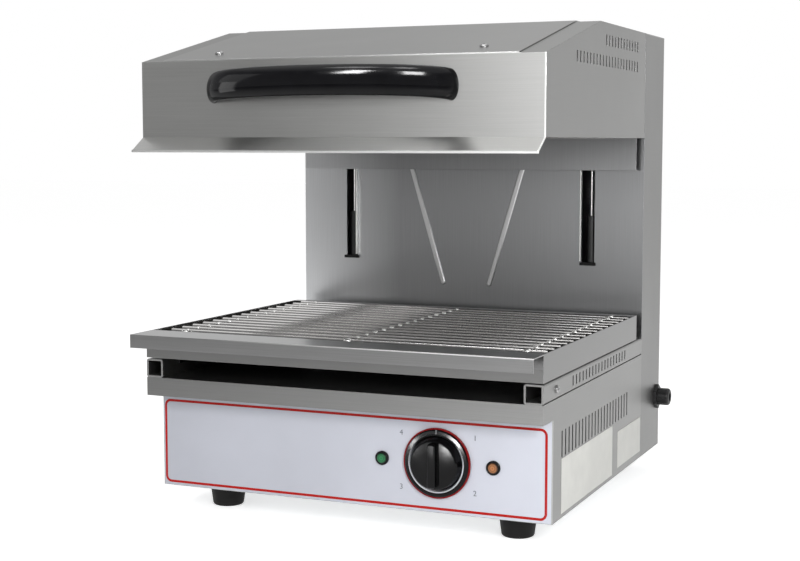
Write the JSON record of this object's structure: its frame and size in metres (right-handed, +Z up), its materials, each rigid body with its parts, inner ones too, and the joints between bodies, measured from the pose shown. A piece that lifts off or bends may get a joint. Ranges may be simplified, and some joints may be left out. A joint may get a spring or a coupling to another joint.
{
  "type": "electric lift salamander grill",
  "caption": "Countertop cheese melter: a vented base with a knob and lamps, a slide-out tray with a wire grid, and a heated hood that lifts on a rear column.",
  "frame": {"origin": "under the middle of the whole machine's width and depth, on the plane that the rubber feet stand on", "axes": "+Z up; -Y towards the front with the control panel and the hood's handle; +X towards the side with the cable gland"},
  "size_m": [0.4704, 0.5107, 0.5352],
  "materials": {
    "stainless": "fine brushed",
    "bright_wire": "polished",
    "tray_steel": "brushed, folded",
    "galvanised": "dull zinc",
    "screw_steel": "bright screws",
    "foot_rubber": "matte",
    "black_gloss": "gloss",
    "black_matte": "matte",
    "knob_ring_red": "gloss",
    "mark_white": "printed",
    "label_film": "satin film",
    "plate_cream": "matte film",
    "lamp_green": "translucent",
    "lamp_amber": "translucent",
    "element_sheath": "oxidised",
    "ceramic": "glazed",
    "wool": "fibre blanket",
    "bush_brass": "plain bearing"
  },
  "bodies": {
    "base": {"left_side_panel": "stainless", "right_side_panel": "stainless", "base_floor": "galvanised", "control_panel": "stainless", "control_label": "label_film", "deck_plate": "stainless", "left_rail": "stainless", "right_rail": "stainless", "rail_screws": "screw_steel", "side_labels": "plate_cream", "rubber_feet": "foot_rubber", "foot_screws": "screw_steel", "foot_nuts": "screw_steel", "back_panel": "stainless", "slot_buffers": "foot_rubber", "column_left_side": "stainless", "column_right_side": "stainless", "rear_cover": "stainless", "rear_cover_screws": "screw_steel", "column_cap": "stainless", "guide_rods": "bright_wire", "rod_brackets": "galvanised", "gas_spring_tubes": "black_matte", "spring_anchor": "galvanised", "energy_regulator": "black_matte", "regulator_nut": "screw_steel", "lamp_bodies": "black_matte", "lamp_bezels": "black_gloss", "green_lens": "lamp_green", "amber_lens": "lamp_amber", "gland_body": "black_matte", "gland_dome_nut": "black_matte", "gland_seal": "foot_rubber", "gland_lock_nut": "black_matte", "terminal_block": "ceramic", "supply_harness": "black_matte"},
    "knob": {"control_knob": "black_gloss", "knob_mark": "mark_white", "knob_ring": "knob_ring_red", "regulator_shaft": "screw_steel"},
    "tray": {"drip_tray": "tray_steel", "tray_runners": "black_matte"},
    "grid": {"wire_grid": "bright_wire"},
    "hood": {"hood_left_side": "stainless", "hood_right_side": "stainless", "hood_front": "stainless", "hood_top": "stainless", "hood_top_screws": "screw_steel", "rear_skirt": "stainless", "reflector": "bright_wire", "insulation": "wool", "heating_elements": "element_sheath", "element_ends": "ceramic", "element_hangers": "galvanised", "bow_handle": "black_gloss", "handle_screws": "screw_steel", "lift_arms": "galvanised", "lift_carriage": "galvanised", "slide_bushes": "bush_brass", "gas_spring_rods": "bright_wire"}
  },
  "joints": [
    {"name": "hood_lift", "type": "slide", "parent": "base", "child": "hood", "axis": [0, 0, 1], "range_m": [-0.115, 0]},
    {"name": "knob_turn", "type": "hinge", "parent": "base", "child": "knob", "pos_m": [0.0949, -0.18545, 0.0803], "axis": [0, 1, 0], "range_deg": [0, 305]},
    {"name": "tray_slide", "type": "slide", "parent": "base", "child": "tray", "axis": [0, -1, 0], "range_m": [0, 0.3]},
    {"name": "grid_lift_out", "type": "slide", "parent": "tray", "child": "grid", "axis": [0, 0, 1], "range_m": [0, 0.04]}
  ]
}
